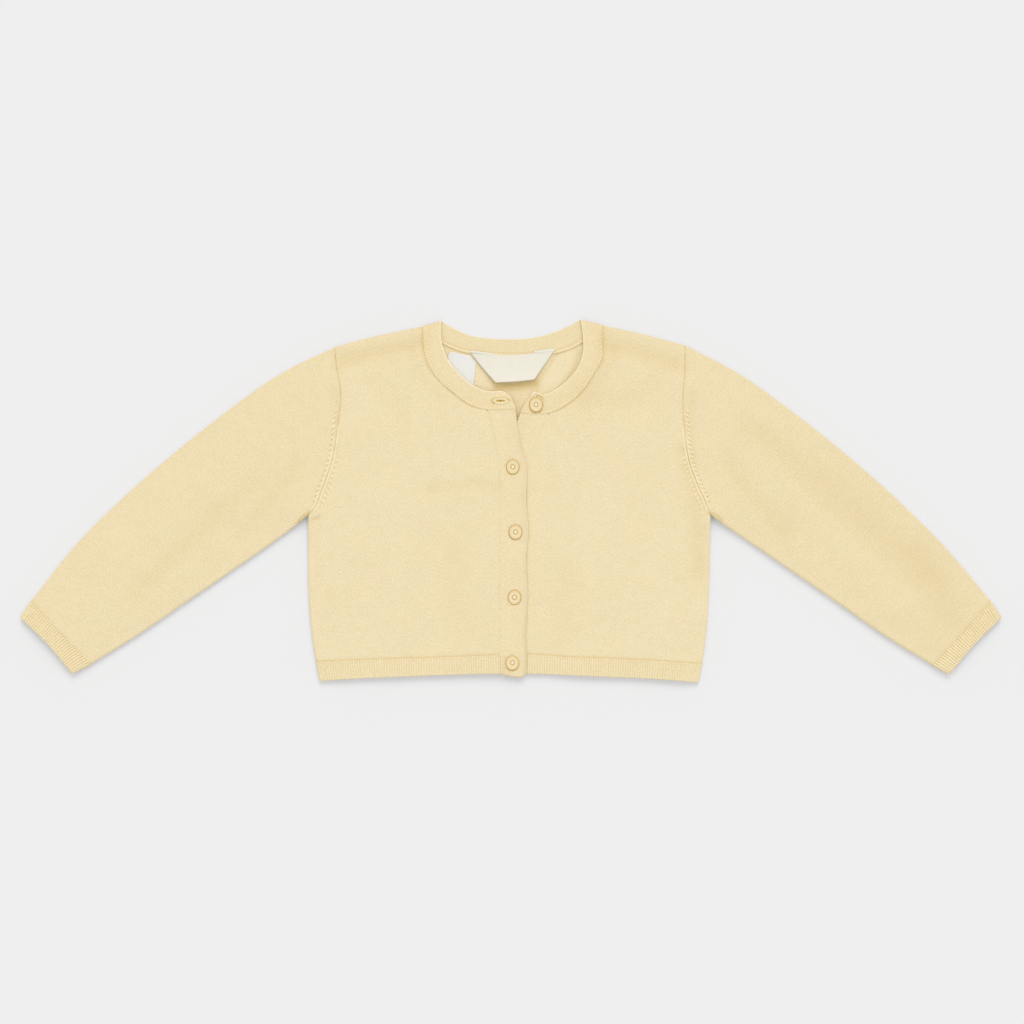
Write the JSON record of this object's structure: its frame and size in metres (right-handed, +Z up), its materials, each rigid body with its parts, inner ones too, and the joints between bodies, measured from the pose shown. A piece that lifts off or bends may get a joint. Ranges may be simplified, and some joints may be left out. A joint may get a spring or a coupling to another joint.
{
  "type": "knit shrug",
  "caption": "Child's cropped fine-knit cardigan laid flat, with long set-in sleeves, ribbed neckband, cuffs and hem, and a buttoned front band.",
  "frame": {"origin": "on the surface that the garment lies on, under the middle of its bounding box", "axes": "+X to the wearer's left, +Y from the hem towards the neck, +Z up from the surface, out of the garment's front"},
  "size_m": [0.7854, 0.2902, 0.0083],
  "materials": {
    "body_knit": "pale butter yellow stockinette in fine matt cotton yarn",
    "rib_knit": "the same yarn in a fine one by one rib",
    "band_knit": "the same yarn in a firm, close, double-faced knit",
    "button": "butter yellow moulded plastic with a soft polish",
    "care_label": "thin white printed-tape satin, left bare",
    "brand_label": "cream woven satin, left bare"
  },
  "bodies": {
    "root": {"back": "body_knit", "front_right": "body_knit", "front_left": "body_knit", "band_right": "band_knit", "band_left": "band_knit", "sleeve_right": "body_knit", "sleeve_left": "body_knit", "cuff_right": "rib_knit", "cuff_left": "rib_knit", "hem_rib_back": "rib_knit", "hem_rib_front_right": "rib_knit", "hem_rib_front_left": "rib_knit", "neckband_right": "rib_knit", "neckband_left": "rib_knit", "neckband_back": "rib_knit", "button_1": "button", "button_2": "button", "button_3": "button", "button_4": "button", "button_5": "button", "care_label": "care_label", "brand_label": "brand_label"}
  },
  "joints": []
}
